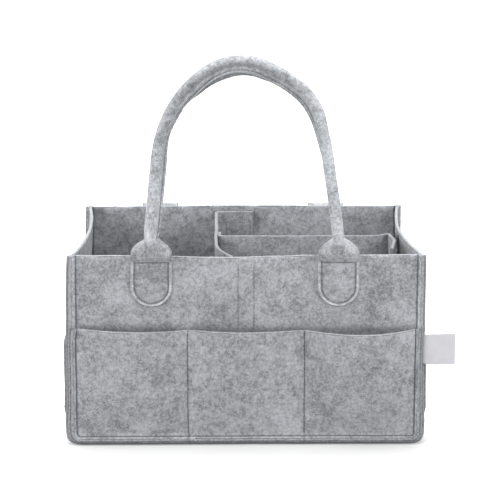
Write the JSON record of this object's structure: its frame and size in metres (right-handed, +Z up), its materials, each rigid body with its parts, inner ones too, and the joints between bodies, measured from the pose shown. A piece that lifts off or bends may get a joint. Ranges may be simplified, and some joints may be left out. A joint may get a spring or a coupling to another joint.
{
  "type": "felt diaper caddy",
  "caption": "Open felt caddy with pockets round its outside, a removable T-shaped divider and two rolled felt grips that fold down over the rim.",
  "frame": {"origin": "middle of the base's underside, on the surface it stands on", "axes": "+Z up; +X to the right of someone facing the front; +Y from the front to the back"},
  "size_m": [0.3636, 0.3077, 0.3646],
  "materials": {
    "felt_melange": "matt grey melange felt",
    "felt_grip": "matt lighter melange felt",
    "tape_loop": "loop tape",
    "tape_hook": "hook tape",
    "tag_weave": "woven satin tape"
  },
  "bodies": {
    "caddy": {"front_panel": "felt_melange", "back_panel": "felt_melange", "wrap_panel": "felt_melange", "front_pocket_panel": "felt_melange", "back_pocket_panel": "felt_melange", "left_side_pocket": "felt_melange", "right_side_pocket": "felt_melange", "front_loop_strip": "tape_loop", "back_loop_strip": "tape_loop", "right_loop_strip": "tape_loop", "side_tag": "tag_weave", "front_handle_left_tab": "felt_grip", "front_handle_right_tab": "felt_grip", "back_handle_left_tab": "felt_grip", "back_handle_right_tab": "felt_grip"},
    "front_handle": {"front_handle_arch": "felt_grip"},
    "back_handle": {"back_handle_arch": "felt_grip"},
    "divider_insert": {"main_divider": "felt_melange", "cross_divider": "felt_melange", "main_divider_front_hook": "tape_hook", "main_divider_rear_hook": "tape_hook", "cross_divider_hook": "tape_hook"}
  },
  "joints": [
    {"name": "front_handle_fold", "type": "hinge", "parent": "caddy", "child": "front_handle", "pos_m": [0, -0.11593, 0.1828], "axis": [1, 0, 0], "range_deg": [-35, 163]},
    {"name": "back_handle_fold", "type": "hinge", "parent": "caddy", "child": "back_handle", "pos_m": [0, 0.11593, 0.1828], "axis": [1, 0, 0], "range_deg": [0, 198]},
    {"name": "divider_lift", "type": "slide", "parent": "caddy", "child": "divider_insert", "axis": [0, 0, 1], "range_m": [0, 0.12]}
  ]
}
